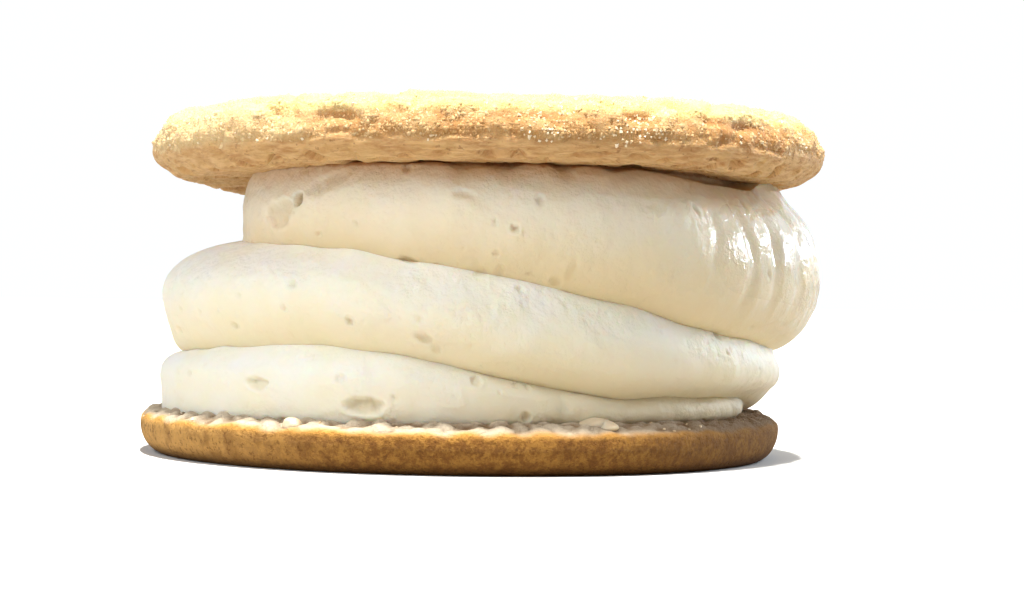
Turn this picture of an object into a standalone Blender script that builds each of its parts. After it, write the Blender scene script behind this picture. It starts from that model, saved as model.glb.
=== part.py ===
"""Milk cream sandwich biscuit: a thick piped swirl of milk cream between two round crumbly biscuits.

The swirl is one rope of cream, piped for a little over three turns. It starts thin on the right,
rises as it laps its own earlier turn, and ends squeezed under the upper biscuit.
Metres, +Z up, front towards -Y. The origin is the middle of the lower biscuit's flat base.
"""

import math

import bmesh
import bpy
from mathutils import Vector, noise

MM = 0.001

# Lower biscuit: flat base, rounded side with its widest belt above mid height, craggy top.
LOWER_RADIUS = 31.0 * MM
LOWER_THICKNESS = 4.9 * MM
LOWER_BELT = 2.9 * MM
LOWER_FOOT_INSET = 2.4 * MM
LOWER_SHOULDER_INSET = 2.4 * MM

# Upper biscuit: a little larger, thicker and more domed, and set down off centre.
UPPER_RADIUS = 32.3 * MM
UPPER_THICKNESS = 6.3 * MM
UPPER_BELT = 2.6 * MM
UPPER_FOOT_INSET = 2.2 * MM
UPPER_SHOULDER_INSET = 4.2 * MM
UPPER_DOME = 0.3 * MM
UPPER_SHIFT_X = 2.3 * MM
UPPER_SHIFT_Y = -2.7 * MM
UPPER_BASE = 26.3 * MM

# Crags of the baked tops: rounded crumbs with clefts between them, over a slower unevenness.
CRUMB_SIZE = 3.6 * MM
CRUMB_DEPTH = 0.60 * MM
CRUMB_FULLNESS = 2.4
SWELL_SIZE = 9.0 * MM
SWELL_DEPTH = 0.30 * MM
OUT_OF_ROUND = 0.25 * MM

# Cream swirl, which keeps a hair's gap to both biscuits.
CONTACT_GAP = 0.3 * MM
CREAM_BASE = LOWER_THICKNESS + CONTACT_GAP
CREAM_TOP = UPPER_BASE - CONTACT_GAP
TURNS = 3.2
CREAM_UNEVENNESS = 0.22 * MM
CREAM_SWELL_SIZE = 8.0 * MM
SAG = 0.32
SHOULDER_SLUMP = 0.8
RIB_COUNT = 44
RIB_DEPTH = 0.35 * MM

# In each key the first number is the turn: 0, 1 and 2 face right, and a quarter more faces front.
# Height of the rope's upper edge, which is also the lower edge of the rope one turn later,
# as a share of the way from the cream's base to its top.
SEAM_RISE = (
    (0.00, 0.00), (0.03, 0.03), (0.10, 0.05), (0.17, 0.06), (0.22, 0.13), (0.28, 0.23),
    (0.33, 0.27), (0.40, 0.24), (0.50, 0.21), (0.75, 0.22), (1.00, 0.25), (1.10, 0.33),
    (1.20, 0.51), (1.27, 0.62), (1.35, 0.69), (1.50, 0.73), (1.75, 0.82), (1.90, 0.87),
    (2.00, 0.895), (2.10, 0.94), (2.20, 1.00),
)
# Radius of that edge in millimetres, from the ring that stands on the lower biscuit
# (turns -1 to 0) to the ring that meets the upper one (the last whole turn).
SEAM_RADIUS = (
    (-1.00, 28.2), (-0.75, 27.8), (-0.50, 28.3), (-0.25, 28.0), (0.00, 28.2), (0.15, 27.5),
    (0.25, 27.5), (0.50, 27.3), (0.75, 27.8), (1.00, 30.3), (1.15, 28.9), (1.25, 28.3),
    (1.38, 25.0), (1.50, 21.1), (1.75, 25.4), (2.00, 29.3), (2.10, 28.9), (2.20, 28.3),
    (2.25, 28.0), (2.38, 24.4), (2.50, 20.8), (2.75, 25.0), (3.00, 28.9), (3.10, 28.7),
    (3.20, 28.3),
)
# Radius of the rope's outermost bulge in millimetres.
CREST_RADIUS = (
    (0.00, 28.5), (0.12, 28.6), (0.25, 28.8), (0.50, 29.0), (0.75, 29.8), (1.00, 30.9),
    (1.15, 30.2), (1.25, 29.8), (1.50, 29.1), (1.75, 31.2), (2.00, 34.7), (2.12, 32.6),
    (2.25, 29.7), (2.38, 25.2), (2.50, 21.2), (2.75, 25.8), (3.00, 29.6), (3.10, 29.1),
    (3.20, 28.3),
)

# Mesh fineness.
UPPER_TOP_RINGS = 21
UPPER_WALL_RINGS = 9
LOWER_TOP_RINGS = 18
LOWER_WALL_RINGS = 8
CREAM_STEPS_PER_TURN = 60
CREAM_STEPS_ACROSS = 9
WELD = 0.001 * MM

UPPER_COLOUR = (0.70, 0.46, 0.22, 1.0)
LOWER_COLOUR = (0.46, 0.26, 0.09, 1.0)
CREAM_COLOUR = (0.84, 0.76, 0.58, 1.0)


def clear_scene():
    """Empties the file of objects, so that only the biscuit is left in it."""
    for leftover in list(bpy.data.objects):
        bpy.data.objects.remove(leftover)


def finish_material(name, colour, roughness):
    """A plain food finish of one colour."""
    material = bpy.data.materials.new(name)
    material.use_nodes = True
    shader = material.node_tree.nodes["Principled BSDF"]
    shader.inputs["Base Color"].default_value = colour
    shader.inputs["Roughness"].default_value = roughness
    shader.inputs["Metallic"].default_value = 0.0
    return material


def add_object(name, bm, material, collection):
    """Makes a named, smooth-shaded object from a finished shape."""
    mesh = bpy.data.meshes.new(name)
    bm.to_mesh(mesh)
    bm.free()
    mesh.materials.append(material)
    mesh.shade_smooth()
    made = bpy.data.objects.new(name, mesh)
    collection.objects.link(made)
    return made


def ramp(value, low, high):
    """Runs smoothly from 0 at low to 1 at high."""
    share = min(max((value - low) / (high - low), 0.0), 1.0)
    return share * share * (3.0 - 2.0 * share)


def follow(keys, place):
    """Reads a smooth line through (place, value) keys, without overshooting any of them."""
    if place <= keys[0][0]:
        return keys[0][1]
    if place >= keys[-1][0]:
        return keys[-1][1]
    index = max(i for i, key in enumerate(keys) if key[0] <= place)
    steps = [
        (after[1] - before[1]) / (after[0] - before[0])
        for before, after in zip(keys, keys[1:])
    ]

    def slope(i):
        if i == 0 or i == len(steps) or steps[i - 1] * steps[i] <= 0.0:
            return 0.0
        return 2.0 * steps[i - 1] * steps[i] / (steps[i - 1] + steps[i])

    (start, low), (end, high) = keys[index], keys[index + 1]
    span = end - start
    t = (place - start) / span
    return (
        low * (1 + 2 * t) * (1 - t) ** 2
        + high * t * t * (3 - 2 * t)
        + span * slope(index) * t * (1 - t) ** 2
        + span * slope(index + 1) * t * t * (t - 1)
    )


def disc_place(x, y):
    """Rounds a hexagon of corner radius 1 to a disc: (share of the radius, angle)."""
    distance = math.hypot(x, y)
    if distance == 0.0:
        return 0.0, 0.0
    sector = math.pi / 3
    first_corner = math.pi / 6
    angle = math.atan2(y, x)
    side_middle = first_corner + (math.floor((angle - first_corner) / sector) + 0.5) * sector
    share = distance * math.cos(angle - side_middle) / math.cos(sector / 2)
    along = distance * math.sin(angle - side_middle) / share
    return share, side_middle + along * sector


def crag_depth(point):
    """How far the baked top sinks below its highest crumbs at a point."""
    cleft = 1.0 - min(abs(noise.noise(point / CRUMB_SIZE)) * CRUMB_FULLNESS, 1.0)
    swell = 0.5 - 0.5 * noise.noise(point / SWELL_SIZE)
    return CRUMB_DEPTH * cleft + SWELL_DEPTH * swell


def biscuit(name, centre, radius, thickness, belt, insets, dome, mesh_steps, finish):
    """A round biscuit: a flat base, a rounded side, and a top of crumbs and pits.

    The side is two quarter ellipses that meet at the belt. The top is a hexagon of even
    triangles, rounded to a disc, and the side is drawn down from its rim, ring by ring.
    """
    foot_inset, shoulder_inset = insets
    top_rings, wall_rings = mesh_steps
    material, collection = finish
    bm = bmesh.new()
    bmesh.ops.create_circle(bm, cap_ends=True, cap_tris=True, segments=6, radius=1.0)
    bmesh.ops.subdivide_edges(bm, edges=bm.edges, cuts=top_rings - 1, use_grid_fill=True)

    def place(vertex, distance, height, angle, outward):
        """Puts a vertex on the plain shape, then sinks it by the crags where the top is baked."""
        direction = Vector((math.cos(angle), math.sin(angle), 0.0))
        uneven = OUT_OF_ROUND * noise.noise(direction * 1.6 + centre / MM)
        plain = centre + direction * (distance + uneven * distance / radius)
        plain.z += height
        crags = crag_depth(plain) * ramp(height, belt * 0.9, belt + 0.45 * (thickness - belt))
        out, up = outward
        vertex.co = plain - (direction * out + Vector((0.0, 0.0, up))) * crags

    for vertex in bm.verts:
        share, angle = disc_place(vertex.co.x, vertex.co.y)
        bulge = dome * (1.0 - share * share)
        place(vertex, share * (radius - shoulder_inset), thickness + bulge, angle, (0.0, 1.0))

    rim_edges = [edge for edge in bm.edges if edge.is_boundary]
    for ring in range(1, wall_rings + 1):
        made = bmesh.ops.extrude_edge_only(bm, edges=rim_edges)["geom"]
        rim_edges = [item for item in made if isinstance(item, bmesh.types.BMEdge)]
        lean = math.pi / 2 - math.pi * ring / wall_rings
        inset, half_height = (
            (shoulder_inset, thickness - belt) if lean > 0.0 else (foot_inset, belt)
        )
        distance = radius - inset * (1.0 - math.cos(lean))
        height = belt + half_height * math.sin(lean)
        for vertex in [item for item in made if isinstance(item, bmesh.types.BMVert)]:
            angle = math.atan2(vertex.co.y - centre.y, vertex.co.x - centre.x)
            place(vertex, distance, height, angle, (math.cos(lean), math.sin(lean)))

    base = bmesh.ops.holes_fill(bm, edges=rim_edges, sides=0)["faces"]
    bmesh.ops.poke(bm, faces=base)
    bmesh.ops.recalc_face_normals(bm, faces=bm.faces)
    return add_object(name, bm, material, collection)


def seam(turn):
    """(radius, height) of the rope's upper edge at a turn, in metres."""
    height = CREAM_BASE + (CREAM_TOP - CREAM_BASE) * follow(SEAM_RISE, turn)
    return follow(SEAM_RADIUS, turn) * MM, height


def cream_point(turn, across):
    """A point of the rope's outer face: across runs from 0 at its lower edge to 1 at its upper."""
    low_radius, low_height = seam(turn - 1.0)
    high_radius, high_height = seam(turn)
    lean = math.pi * (across - 0.5)
    # The thick end of the rope, on the right, sags: its crest sits low and its shoulder slopes.
    sagging = ramp(turn, 1.75, 2.0) * (1.0 - ramp(turn, 2.0, 2.25))
    share = (0.5 + 0.5 * math.sin(lean)) ** (1.0 + SAG * sagging)
    roundness = 1.0 + SHOULDER_SLUMP * sagging * max(math.sin(lean), 0.0)
    inner = low_radius + (high_radius - low_radius) * share
    thickness = high_height - low_height
    fullness = 1.0 - math.exp(-thickness / MM)
    bulge = (follow(CREST_RADIUS, turn) * MM - inner) * fullness * math.cos(lean) ** roundness
    height = low_height + thickness * share

    # The same end is squeezed out and drawn into upright ribs.
    ribs = ramp(turn, 1.86, 1.97) * (1.0 - ramp(turn, 2.04, 2.10)) * math.cos(lean)
    bulge -= RIB_DEPTH * ribs * (0.5 + 0.5 * math.cos(RIB_COUNT * math.tau * turn))

    angle = -math.tau * turn
    direction = Vector((math.cos(angle), math.sin(angle), 0.0))
    plain = direction * inner
    plain.z = height
    uneven = CREAM_UNEVENNESS * fullness * math.cos(lean) * noise.noise(plain / CREAM_SWELL_SIZE)
    return plain + direction * (bulge + uneven)


def cream_swirl(name, material, collection):
    """The rope as one helical strip, whose lower edge is welded to its own upper edge a turn before."""
    bm = bmesh.new()
    steps_along = round(TURNS * CREAM_STEPS_PER_TURN)
    bmesh.ops.create_grid(bm, x_segments=steps_along, y_segments=CREAM_STEPS_ACROSS, size=1.0)
    for vertex in bm.verts:
        vertex.co = cream_point((vertex.co.x + 1.0) / 2 * TURNS, (vertex.co.y + 1.0) / 2)
    bmesh.ops.remove_doubles(bm, verts=bm.verts, dist=WELD)
    open_edges = [edge for edge in bm.edges if edge.is_boundary]
    ends = bmesh.ops.holes_fill(bm, edges=open_edges, sides=0)["faces"]
    bmesh.ops.poke(bm, faces=ends)
    bmesh.ops.recalc_face_normals(bm, faces=bm.faces)
    return add_object(name, bm, material, collection)


def build():
    """The two biscuits and the cream between them, in their own collection."""
    clear_scene()
    sandwich = bpy.data.collections.new("milk_cream_sandwich_biscuit")
    bpy.context.scene.collection.children.link(sandwich)
    biscuit(
        "lower_biscuit",
        centre=Vector((0.0, 0.0, 0.0)),
        radius=LOWER_RADIUS,
        thickness=LOWER_THICKNESS,
        belt=LOWER_BELT,
        insets=(LOWER_FOOT_INSET, LOWER_SHOULDER_INSET),
        dome=0.0,
        mesh_steps=(LOWER_TOP_RINGS, LOWER_WALL_RINGS),
        finish=(finish_material("browned_biscuit", LOWER_COLOUR, 0.75), sandwich),
    )
    biscuit(
        "upper_biscuit",
        centre=Vector((UPPER_SHIFT_X, UPPER_SHIFT_Y, UPPER_BASE)),
        radius=UPPER_RADIUS,
        thickness=UPPER_THICKNESS,
        belt=UPPER_BELT,
        insets=(UPPER_FOOT_INSET, UPPER_SHOULDER_INSET),
        dome=UPPER_DOME,
        mesh_steps=(UPPER_TOP_RINGS, UPPER_WALL_RINGS),
        finish=(finish_material("golden_biscuit", UPPER_COLOUR, 0.8), sandwich),
    )
    cream_swirl("milk_cream", finish_material("milk_cream", CREAM_COLOUR, 0.4), sandwich)


build()
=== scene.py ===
import math

import bmesh
import bpy
import numpy as np
from mathutils import Matrix, Quaternion, Vector, kdtree, noise


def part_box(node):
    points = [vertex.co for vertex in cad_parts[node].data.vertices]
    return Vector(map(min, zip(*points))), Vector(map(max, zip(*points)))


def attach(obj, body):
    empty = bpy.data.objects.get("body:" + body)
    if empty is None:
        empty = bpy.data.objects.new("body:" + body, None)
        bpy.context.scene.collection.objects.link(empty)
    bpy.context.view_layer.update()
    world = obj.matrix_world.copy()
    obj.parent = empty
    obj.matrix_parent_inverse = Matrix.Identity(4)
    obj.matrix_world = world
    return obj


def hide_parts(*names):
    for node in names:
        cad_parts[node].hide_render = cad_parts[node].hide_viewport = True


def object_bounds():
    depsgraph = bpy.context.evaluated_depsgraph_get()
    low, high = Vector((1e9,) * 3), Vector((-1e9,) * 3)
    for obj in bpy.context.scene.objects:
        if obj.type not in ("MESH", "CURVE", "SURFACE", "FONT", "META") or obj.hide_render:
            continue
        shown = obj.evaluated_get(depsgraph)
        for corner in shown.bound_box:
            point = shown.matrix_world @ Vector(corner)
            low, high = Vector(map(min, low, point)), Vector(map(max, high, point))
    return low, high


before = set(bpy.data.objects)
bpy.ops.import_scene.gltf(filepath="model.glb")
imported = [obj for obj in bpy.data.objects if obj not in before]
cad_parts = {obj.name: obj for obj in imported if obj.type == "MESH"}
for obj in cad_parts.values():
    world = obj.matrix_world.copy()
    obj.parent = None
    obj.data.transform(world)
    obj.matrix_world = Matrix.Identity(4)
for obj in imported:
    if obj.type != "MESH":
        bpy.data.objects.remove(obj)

solid_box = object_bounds()

# Lower biscuit: a round of short butter dough, baked flat on a tin until its side and foot are brown.
# Its crumbly top stayed paler, and the rim of it stands out round the cream.

MM = 0.001

# A round's belt is the height at which it is widest, and its insets say how much smaller in
# radius its base and its top are than that.
LOWER_CENTRE = Vector((0.0, 0.0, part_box("lower_biscuit")[0].z))
LOWER_RADIUS = 31.0 * MM
LOWER_THICKNESS = 4.9 * MM
LOWER_BELT = 2.9 * MM
LOWER_FOOT_INSET = 2.1 * MM
LOWER_SHOULDER_INSET = 2.4 * MM

# How finely a round is cut up: (rings in its top, share of the top's radius from which it is
# finer, cuts that make it so, rings down its side, rings in its base).
LOWER_FINENESS = (50, 0.795, 2, 34, 4)
BASE_RING_CROWDING = 1.6

# Heights between which the rough crust takes over from the plain side. That line wanders.
LOWER_CRUST_START = (LOWER_BELT + 0.5 * MM, LOWER_BELT + 1.2 * MM)
LOWER_CRUST_WANDER = 0.45 * MM
LOWER_CRUST_WAVE = 2.2 * MM

OUT_OF_ROUND = 0.25 * MM
OUT_OF_ROUND_WAVES = 1.6
LOWER_SIDE_DEPTH = 0.05 * MM
LOWER_SIDE_WAVE = 2.4 * MM
LOWER_LUMP_SIZE = 1.5 * MM
LOWER_LUMP_DEPTH = 0.62 * MM
SWELL_SIZE = 9.0 * MM
SWELL_DEPTH = 0.30 * MM
GRAIN_SIZE = 1.1 * MM
GRAIN_DEPTH = 0.20 * MM
FINE_GRAIN_SIZE = 0.6 * MM
FINE_GRAIN_DEPTH = 0.10 * MM
LOWER_TOP_RAISE = 0.14 * MM

# Sugar lies on the lower biscuit only outside this radius, clear of the cream.
LOWER_BARE_RIM = 29.0 * MM


class Signal:
    """A socket's value on its way through a finish: Python's operators on it add Math nodes."""

    def __init__(self, finish, socket):
        self.finish = finish
        self.socket = socket

    def math_node(self, operation, first, second):
        return self.finish.node("ShaderNodeMath", {"operation": operation}, {0: first, 1: second})

    def __add__(self, other):
        return self.math_node("ADD", self, other)

    def __radd__(self, other):
        return self.math_node("ADD", other, self)

    def __sub__(self, other):
        return self.math_node("SUBTRACT", self, other)

    def __rsub__(self, other):
        return self.math_node("SUBTRACT", other, self)

    def __mul__(self, other):
        return self.math_node("MULTIPLY", self, other)

    def __rmul__(self, other):
        return self.math_node("MULTIPLY", other, self)

    def __truediv__(self, other):
        return self.math_node("DIVIDE", self, other)


class Finish:
    """A procedural food finish: one Principled shader and the nodes that feed it."""

    def __init__(self, name):
        self.material = bpy.data.materials.new(name)
        self.material.use_nodes = True
        self.tree = self.material.node_tree
        self.shader = self.tree.nodes["Principled BSDF"]
        self.place = self.node("ShaderNodeTexCoord", output="Object")

    def node(self, kind, settings=None, inputs=None, output=0):
        """Adds a node, sets its settings and then its sockets, and returns one of its outputs."""
        made = self.tree.nodes.new(kind)
        for name, value in (settings or {}).items():
            setattr(made, name, value)
        self.feed(made, inputs or {})
        return Signal(self, made.outputs[output])

    def feed(self, node, inputs):
        """Gives sockets their values, or links them to signals."""
        for name, value in inputs.items():
            if isinstance(value, Signal):
                self.tree.links.new(value.socket, node.inputs[name])
            else:
                node.inputs[name].default_value = value

    def noise(self, size, detail=2.0, roughness=0.5, vector=None):
        """Cloudy noise from 0 to 1 with spots of a size in metres."""
        inputs = {"Vector": vector or self.place, "Scale": 1.0 / size, "Detail": detail}
        return self.node("ShaderNodeTexNoise", None, {**inputs, "Roughness": roughness}, "Fac")

    def between(self, value, low, high):
        """Runs smoothly from 0 where a value is low to 1 where it is high."""
        inputs = {"Value": value, "From Min": low, "From Max": high}
        return self.node("ShaderNodeMapRange", {"interpolation_type": "SMOOTHSTEP"}, inputs)

    def mix(self, share, first, second):
        """Mixes two colours."""
        inputs = {0: share, 6: first, 7: second}
        return self.node("ShaderNodeMix", {"data_type": "RGBA"}, inputs, 2)

    def layered(self, colour, tints):
        """Lays tints over a colour, one after another. Each is (share, red, green, blue)."""
        for share, *tint in tints:
            colour = self.mix(share, colour, paint(*tint))
        return colour

    def attribute(self, name):
        """A number that the mesh carries at each point."""
        return self.node("ShaderNodeAttribute", {"attribute_name": name}, None, "Fac")

    def place_along(self, axis):
        """A point's place along the X, Y or Z axis, in metres."""
        return self.node("ShaderNodeSeparateXYZ", None, {0: self.place}, axis)

    def bumps(self, height, depth):
        """Feeds the shader a relief of the given depth in metres."""
        inputs = {"Height": height, "Distance": depth, "Strength": 1.0}
        self.feed(self.shader, {"Normal": self.node("ShaderNodeBump", None, inputs)})


def paint(red, green, blue):
    """A colour given as screen values from 0 to 255, as the linear values that a shader takes."""
    shares = [value / 255 for value in (red, green, blue)]
    return (*[s / 12.92 if s < 0.04 else ((s + 0.055) / 1.055) ** 2.4 for s in shares], 1.0)


def ramp(value, low, high):
    """Runs smoothly from 0 at low to 1 at high."""
    share = min(max((value - low) / (high - low), 0.0), 1.0)
    return share * share * (3.0 - 2.0 * share)


def joint(point, size):
    """Packed grains of a size: 1 in the joints between them, 0 on top of the tallest ones."""
    distances, grains = noise.voronoi(point / size)
    tallness = 0.75 + 0.25 * noise.cell(grains[0] * 9.0)
    return 1.0 - tallness * max(1.0 - distances[0] ** 2 * 1.5, 0.0)


def disc_place(x, y):
    """Rounds a hexagon of corner radius 1 to a disc: (share of the radius, angle)."""
    distance = math.hypot(x, y)
    if distance == 0.0:
        return 0.0, 0.0
    sector = math.pi / 3
    first_corner = math.pi / 6
    angle = math.atan2(y, x)
    side_middle = first_corner + (math.floor((angle - first_corner) / sector) + 0.5) * sector
    share = distance * math.cos(angle - side_middle) / math.cos(sector / 2)
    along = distance * math.sin(angle - side_middle) / share
    return share, side_middle + along * sector


def baked_round(centre, radius, thickness, belt, insets, dome, fineness, relief):
    """A round biscuit as a closed bmesh whose points carry recess, crust and profile.

    The top is a hexagon of even triangles, rounded to a disc and finer near its rim. The side
    is drawn down from the rim in rings, and the base is drawn inwards in rings. The relief
    gets each point, its height and its lean, which is how far its face looks up, in radians.
    """
    foot_inset, shoulder_inset = insets
    top_rings, rim_share, rim_cuts, wall_rings, base_rings = fineness
    bm = bmesh.new()
    layers = [bm.verts.layers.float.new(name) for name in ("recess", "crust", "profile")]
    bmesh.ops.create_circle(bm, cap_ends=True, cap_tris=True, segments=6, radius=1.0)
    bmesh.ops.subdivide_edges(bm, edges=bm.edges, cuts=top_rings - 1, use_grid_fill=True)
    outer = [
        edge for edge in bm.edges
        if min(disc_place(vertex.co.x, vertex.co.y)[0] for vertex in edge.verts) > rim_share
    ]
    bmesh.ops.subdivide_edges(bm, edges=outer, cuts=rim_cuts, use_grid_fill=True)

    def place(vertex, distance, height, lean, angle, profile):
        """Puts a vertex on the plain shape, then sinks it by the relief."""
        direction = Vector((math.cos(angle), math.sin(angle), 0.0))
        uneven = OUT_OF_ROUND * noise.noise(direction * OUT_OF_ROUND_WAVES + centre / MM)
        plain = centre + direction * (distance + uneven * distance / radius)
        plain.z += height
        sink, recess, crust = relief(plain, height, lean)
        vertex.co = plain - (direction * math.cos(lean) + Vector((0, 0, math.sin(lean)))) * sink
        for layer, value in zip(layers, (recess, crust, profile)):
            vertex[layer] = value

    for vertex in bm.verts:
        share, angle = disc_place(vertex.co.x, vertex.co.y)
        bulge = dome * (1.0 - share * share)
        reach = radius - shoulder_inset
        profile = math.pi / 2 * belt + (1.0 - share) * reach
        place(vertex, share * reach, thickness + bulge, math.pi / 2, angle, profile)

    rim = [edge for edge in bm.edges if edge.is_boundary]
    for ring in range(1, wall_rings + base_rings + 1):
        made = bmesh.ops.extrude_edge_only(bm, edges=rim)["geom"]
        rim = [item for item in made if isinstance(item, bmesh.types.BMEdge)]
        lean = max(math.pi / 2 - math.pi * ring / wall_rings, -math.pi / 2)
        inset, half_height = (
            (shoulder_inset, thickness - belt) if lean > 0.0 else (foot_inset, belt)
        )
        inwards = (max(ring - wall_rings, 0) / (base_rings + 1)) ** BASE_RING_CROWDING
        inwards *= radius - foot_inset
        distance = radius - inset * (1.0 - math.cos(lean)) - inwards
        height = belt + half_height * math.sin(lean)
        for vertex in [item for item in made if isinstance(item, bmesh.types.BMVert)]:
            angle = math.atan2(vertex.co.y - centre.y, vertex.co.x - centre.x)
            place(vertex, distance, height, lean, angle, lean * belt - inwards)

    middle = bmesh.ops.holes_fill(bm, edges=rim, sides=0)["faces"]
    bmesh.ops.poke(bm, faces=middle)
    bmesh.ops.recalc_face_normals(bm, faces=bm.faces)
    return bm


def crust_spots(bm, inner_radius=0.0):
    """(place, normal, crust) of each point that lies outside a radius from the vertical axis."""
    crust = bm.verts.layers.float["crust"]
    return [
        (vertex.co.copy(), vertex.normal.copy(), vertex[crust])
        for vertex in bm.verts if vertex.co.to_2d().length >= inner_radius
    ]


def put_in_scene(name, data):
    """Shows a mesh, a camera or a light in the scene."""
    shown = bpy.data.objects.new(name, data)
    bpy.context.scene.collection.objects.link(shown)
    return shown


def add_piece(name, bm, finish):
    """Makes a smooth-shaded piece from a shape, held inside the solids' own box."""
    low, high = solid_box
    for vertex in bm.verts:
        vertex.co = [min(max(c, a), b) for c, a, b in zip(vertex.co, low, high)]
    mesh = bpy.data.meshes.new(name)
    bm.to_mesh(mesh)
    bm.free()
    mesh.materials.append(finish.material)
    mesh.shade_smooth()
    return put_in_scene(name, mesh)


def lower_relief(point, height, lean):
    """(depth, recess, crust) of the lower biscuit: lumps on top, a close smooth side."""
    ragged = height + LOWER_CRUST_WANDER * noise.noise(point / LOWER_CRUST_WAVE)
    crust = ramp(ragged, *LOWER_CRUST_START)
    sink = LOWER_SIDE_DEPTH * (1.0 - noise.noise(point / LOWER_SIDE_WAVE))
    recess = 0.0
    if crust > 0.0:
        lump = joint(point, LOWER_LUMP_SIZE)
        grain = joint(point, GRAIN_SIZE)
        fine = joint(point, FINE_GRAIN_SIZE)
        swell = 0.5 - 0.5 * noise.noise(point / SWELL_SIZE)
        depth = LOWER_LUMP_DEPTH * lump + SWELL_DEPTH * swell - LOWER_TOP_RAISE
        depth += GRAIN_DEPTH * grain + FINE_GRAIN_DEPTH * fine
        open_top = 0.45 + 0.55 * ramp(lean, 0.5, 1.2)
        sink += crust * open_top * depth
        # The recess later darkens the top's colour as painted shade in its joints, less on the lit
        # shoulder.
        recess = 0.45 * lump + 0.35 * grain + 0.20 * fine
        recess *= 0.75 + 0.25 * ramp(lean, 0.8, 1.5)
    above_base = ramp(lean, -1.5, -0.9)
    return sink * above_base, recess, crust


def lower_top_height(distance):
    """Height of the lower biscuit's plain top at a distance from its axis."""
    inset = min((LOWER_RADIUS - distance) / LOWER_SHOULDER_INSET, 1.0)
    return LOWER_BELT + (LOWER_THICKNESS - LOWER_BELT) * math.sqrt(1.0 - (1.0 - inset) ** 2)


def lower_finish():
    """Baked dough: mottled brown side, darker foot, pale lumpy top; its orange upper edge is a
    painted highlight.
    """
    finish = Finish("browned_biscuit")
    height = finish.place_along("Z")
    rightward = finish.place_along("X")
    blotch = finish.between(finish.noise(0.8 * MM, 5.0, 0.75), 0.38, 0.62)
    speck = finish.between(finish.noise(0.5 * MM, 4.0, 0.7), 0.54, 0.62)
    patch = finish.between(finish.noise(2.4 * MM, 4.0, 0.6), 0.46, 0.62)
    # Painted light: paler towards the left, where the lower biscuit is lit from the left.
    paler = 1.0 - finish.between(rightward, -30.0 * MM, -6.0 * MM)
    # Painted shade: darker towards the right, where the lower biscuit lies in shade, on its side and
    # its top.
    darker = finish.between(rightward, 6.0 * MM, 26.0 * MM)
    # Painted highlight: an orange glow along the side's upper edge, as where the key catches it,
    # fading towards the shaded right.
    edge = finish.between(height, 3.0 * MM, 3.7 * MM)
    foot = 1.0 - finish.between(height, 0.1 * MM, 1.6 * MM)
    side = finish.mix(blotch, paint(136, 89, 36), paint(180, 129, 58))
    side = finish.layered(side, (
        (paler * 0.7, 238, 186, 110),
        (speck * 0.55, 108, 66, 24),
        (patch * 0.42, 116, 72, 26),
        (edge * (0.8 - darker * 0.55), 232, 172, 84),
        (darker * 0.48, 88, 60, 14),
        (foot * 0.75, 104, 64, 22),
    ))
    # Painted shade: the top is darker in the joints between its lumps, where shade falls.
    recess = finish.between(finish.attribute("recess"), 0.30, 0.85)
    top = finish.mix(recess, paint(224, 208, 184), paint(140, 106, 70))
    # Painted shade over the top's right side.
    top = finish.mix(darker * 0.85, top, paint(116, 87, 56))
    finish.feed(finish.shader, {
        "Base Color": finish.mix(finish.attribute("crust"), side, top),
        "Roughness": 0.75,
        "Specular IOR Level": 0.25,
    })
    finish.bumps(finish.noise(0.45 * MM, 4.0, 0.7), 0.45 * MM)
    return finish


lower_bm = baked_round(
    LOWER_CENTRE,
    LOWER_RADIUS,
    LOWER_THICKNESS,
    LOWER_BELT,
    (LOWER_FOOT_INSET, LOWER_SHOULDER_INSET),
    dome=0.0,
    fineness=LOWER_FINENESS,
    relief=lower_relief,
)
lower_spots = crust_spots(lower_bm, LOWER_BARE_RIM)
lower_biscuit = add_piece("lower_biscuit_baked", lower_bm, lower_finish())
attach(lower_biscuit, "root")
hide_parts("lower_biscuit")

# Milk cream: whipped milk cream, piped in one rope that laps its own earlier turn, and pressed out
# a little by the upper biscuit. It is soft and satin, with burst bubbles, and glossy on the right.

CREAM_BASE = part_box("milk_cream")[0].z
CREAM_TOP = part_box("milk_cream")[1].z
ROPE_RADIUS = 28.0 * MM
TURNS = 3.2

# How deep and how wide the rope's swells and small waves are.
CREAM_WAVES = ((0.22 * MM, 8.0 * MM), (0.18 * MM, 2.6 * MM), (0.07 * MM, 1.0 * MM))

# Ribs stand across the rope where it was squeezed out on the right. Their shift and their
# wander are shares of a turn, and a sharper groove is a narrower one.
RIB_COUNT = 44
RIB_DEPTH = 0.65 * MM
RIB_SHIFT = 0.0055
RIB_WANDER = 0.005
GROOVE_SHARPNESS = 3.5

# Turns between which the rope sags, is squeezed out, or was dragged by the nozzle:
# (starts, is full, starts to fade, is gone).
SAGGING = (1.75, 2.00, 2.00, 2.25)
SQUEEZED = (1.86, 1.97, 2.11, 2.155)
DRAGGED = (1.36, 1.44, 1.53, 1.60)
SAG = 0.14
SHOULDER_SLUMP = 0.8
DRAG_DEPTH = 0.14 * MM
DRAG_MARKS = 190.0

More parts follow.
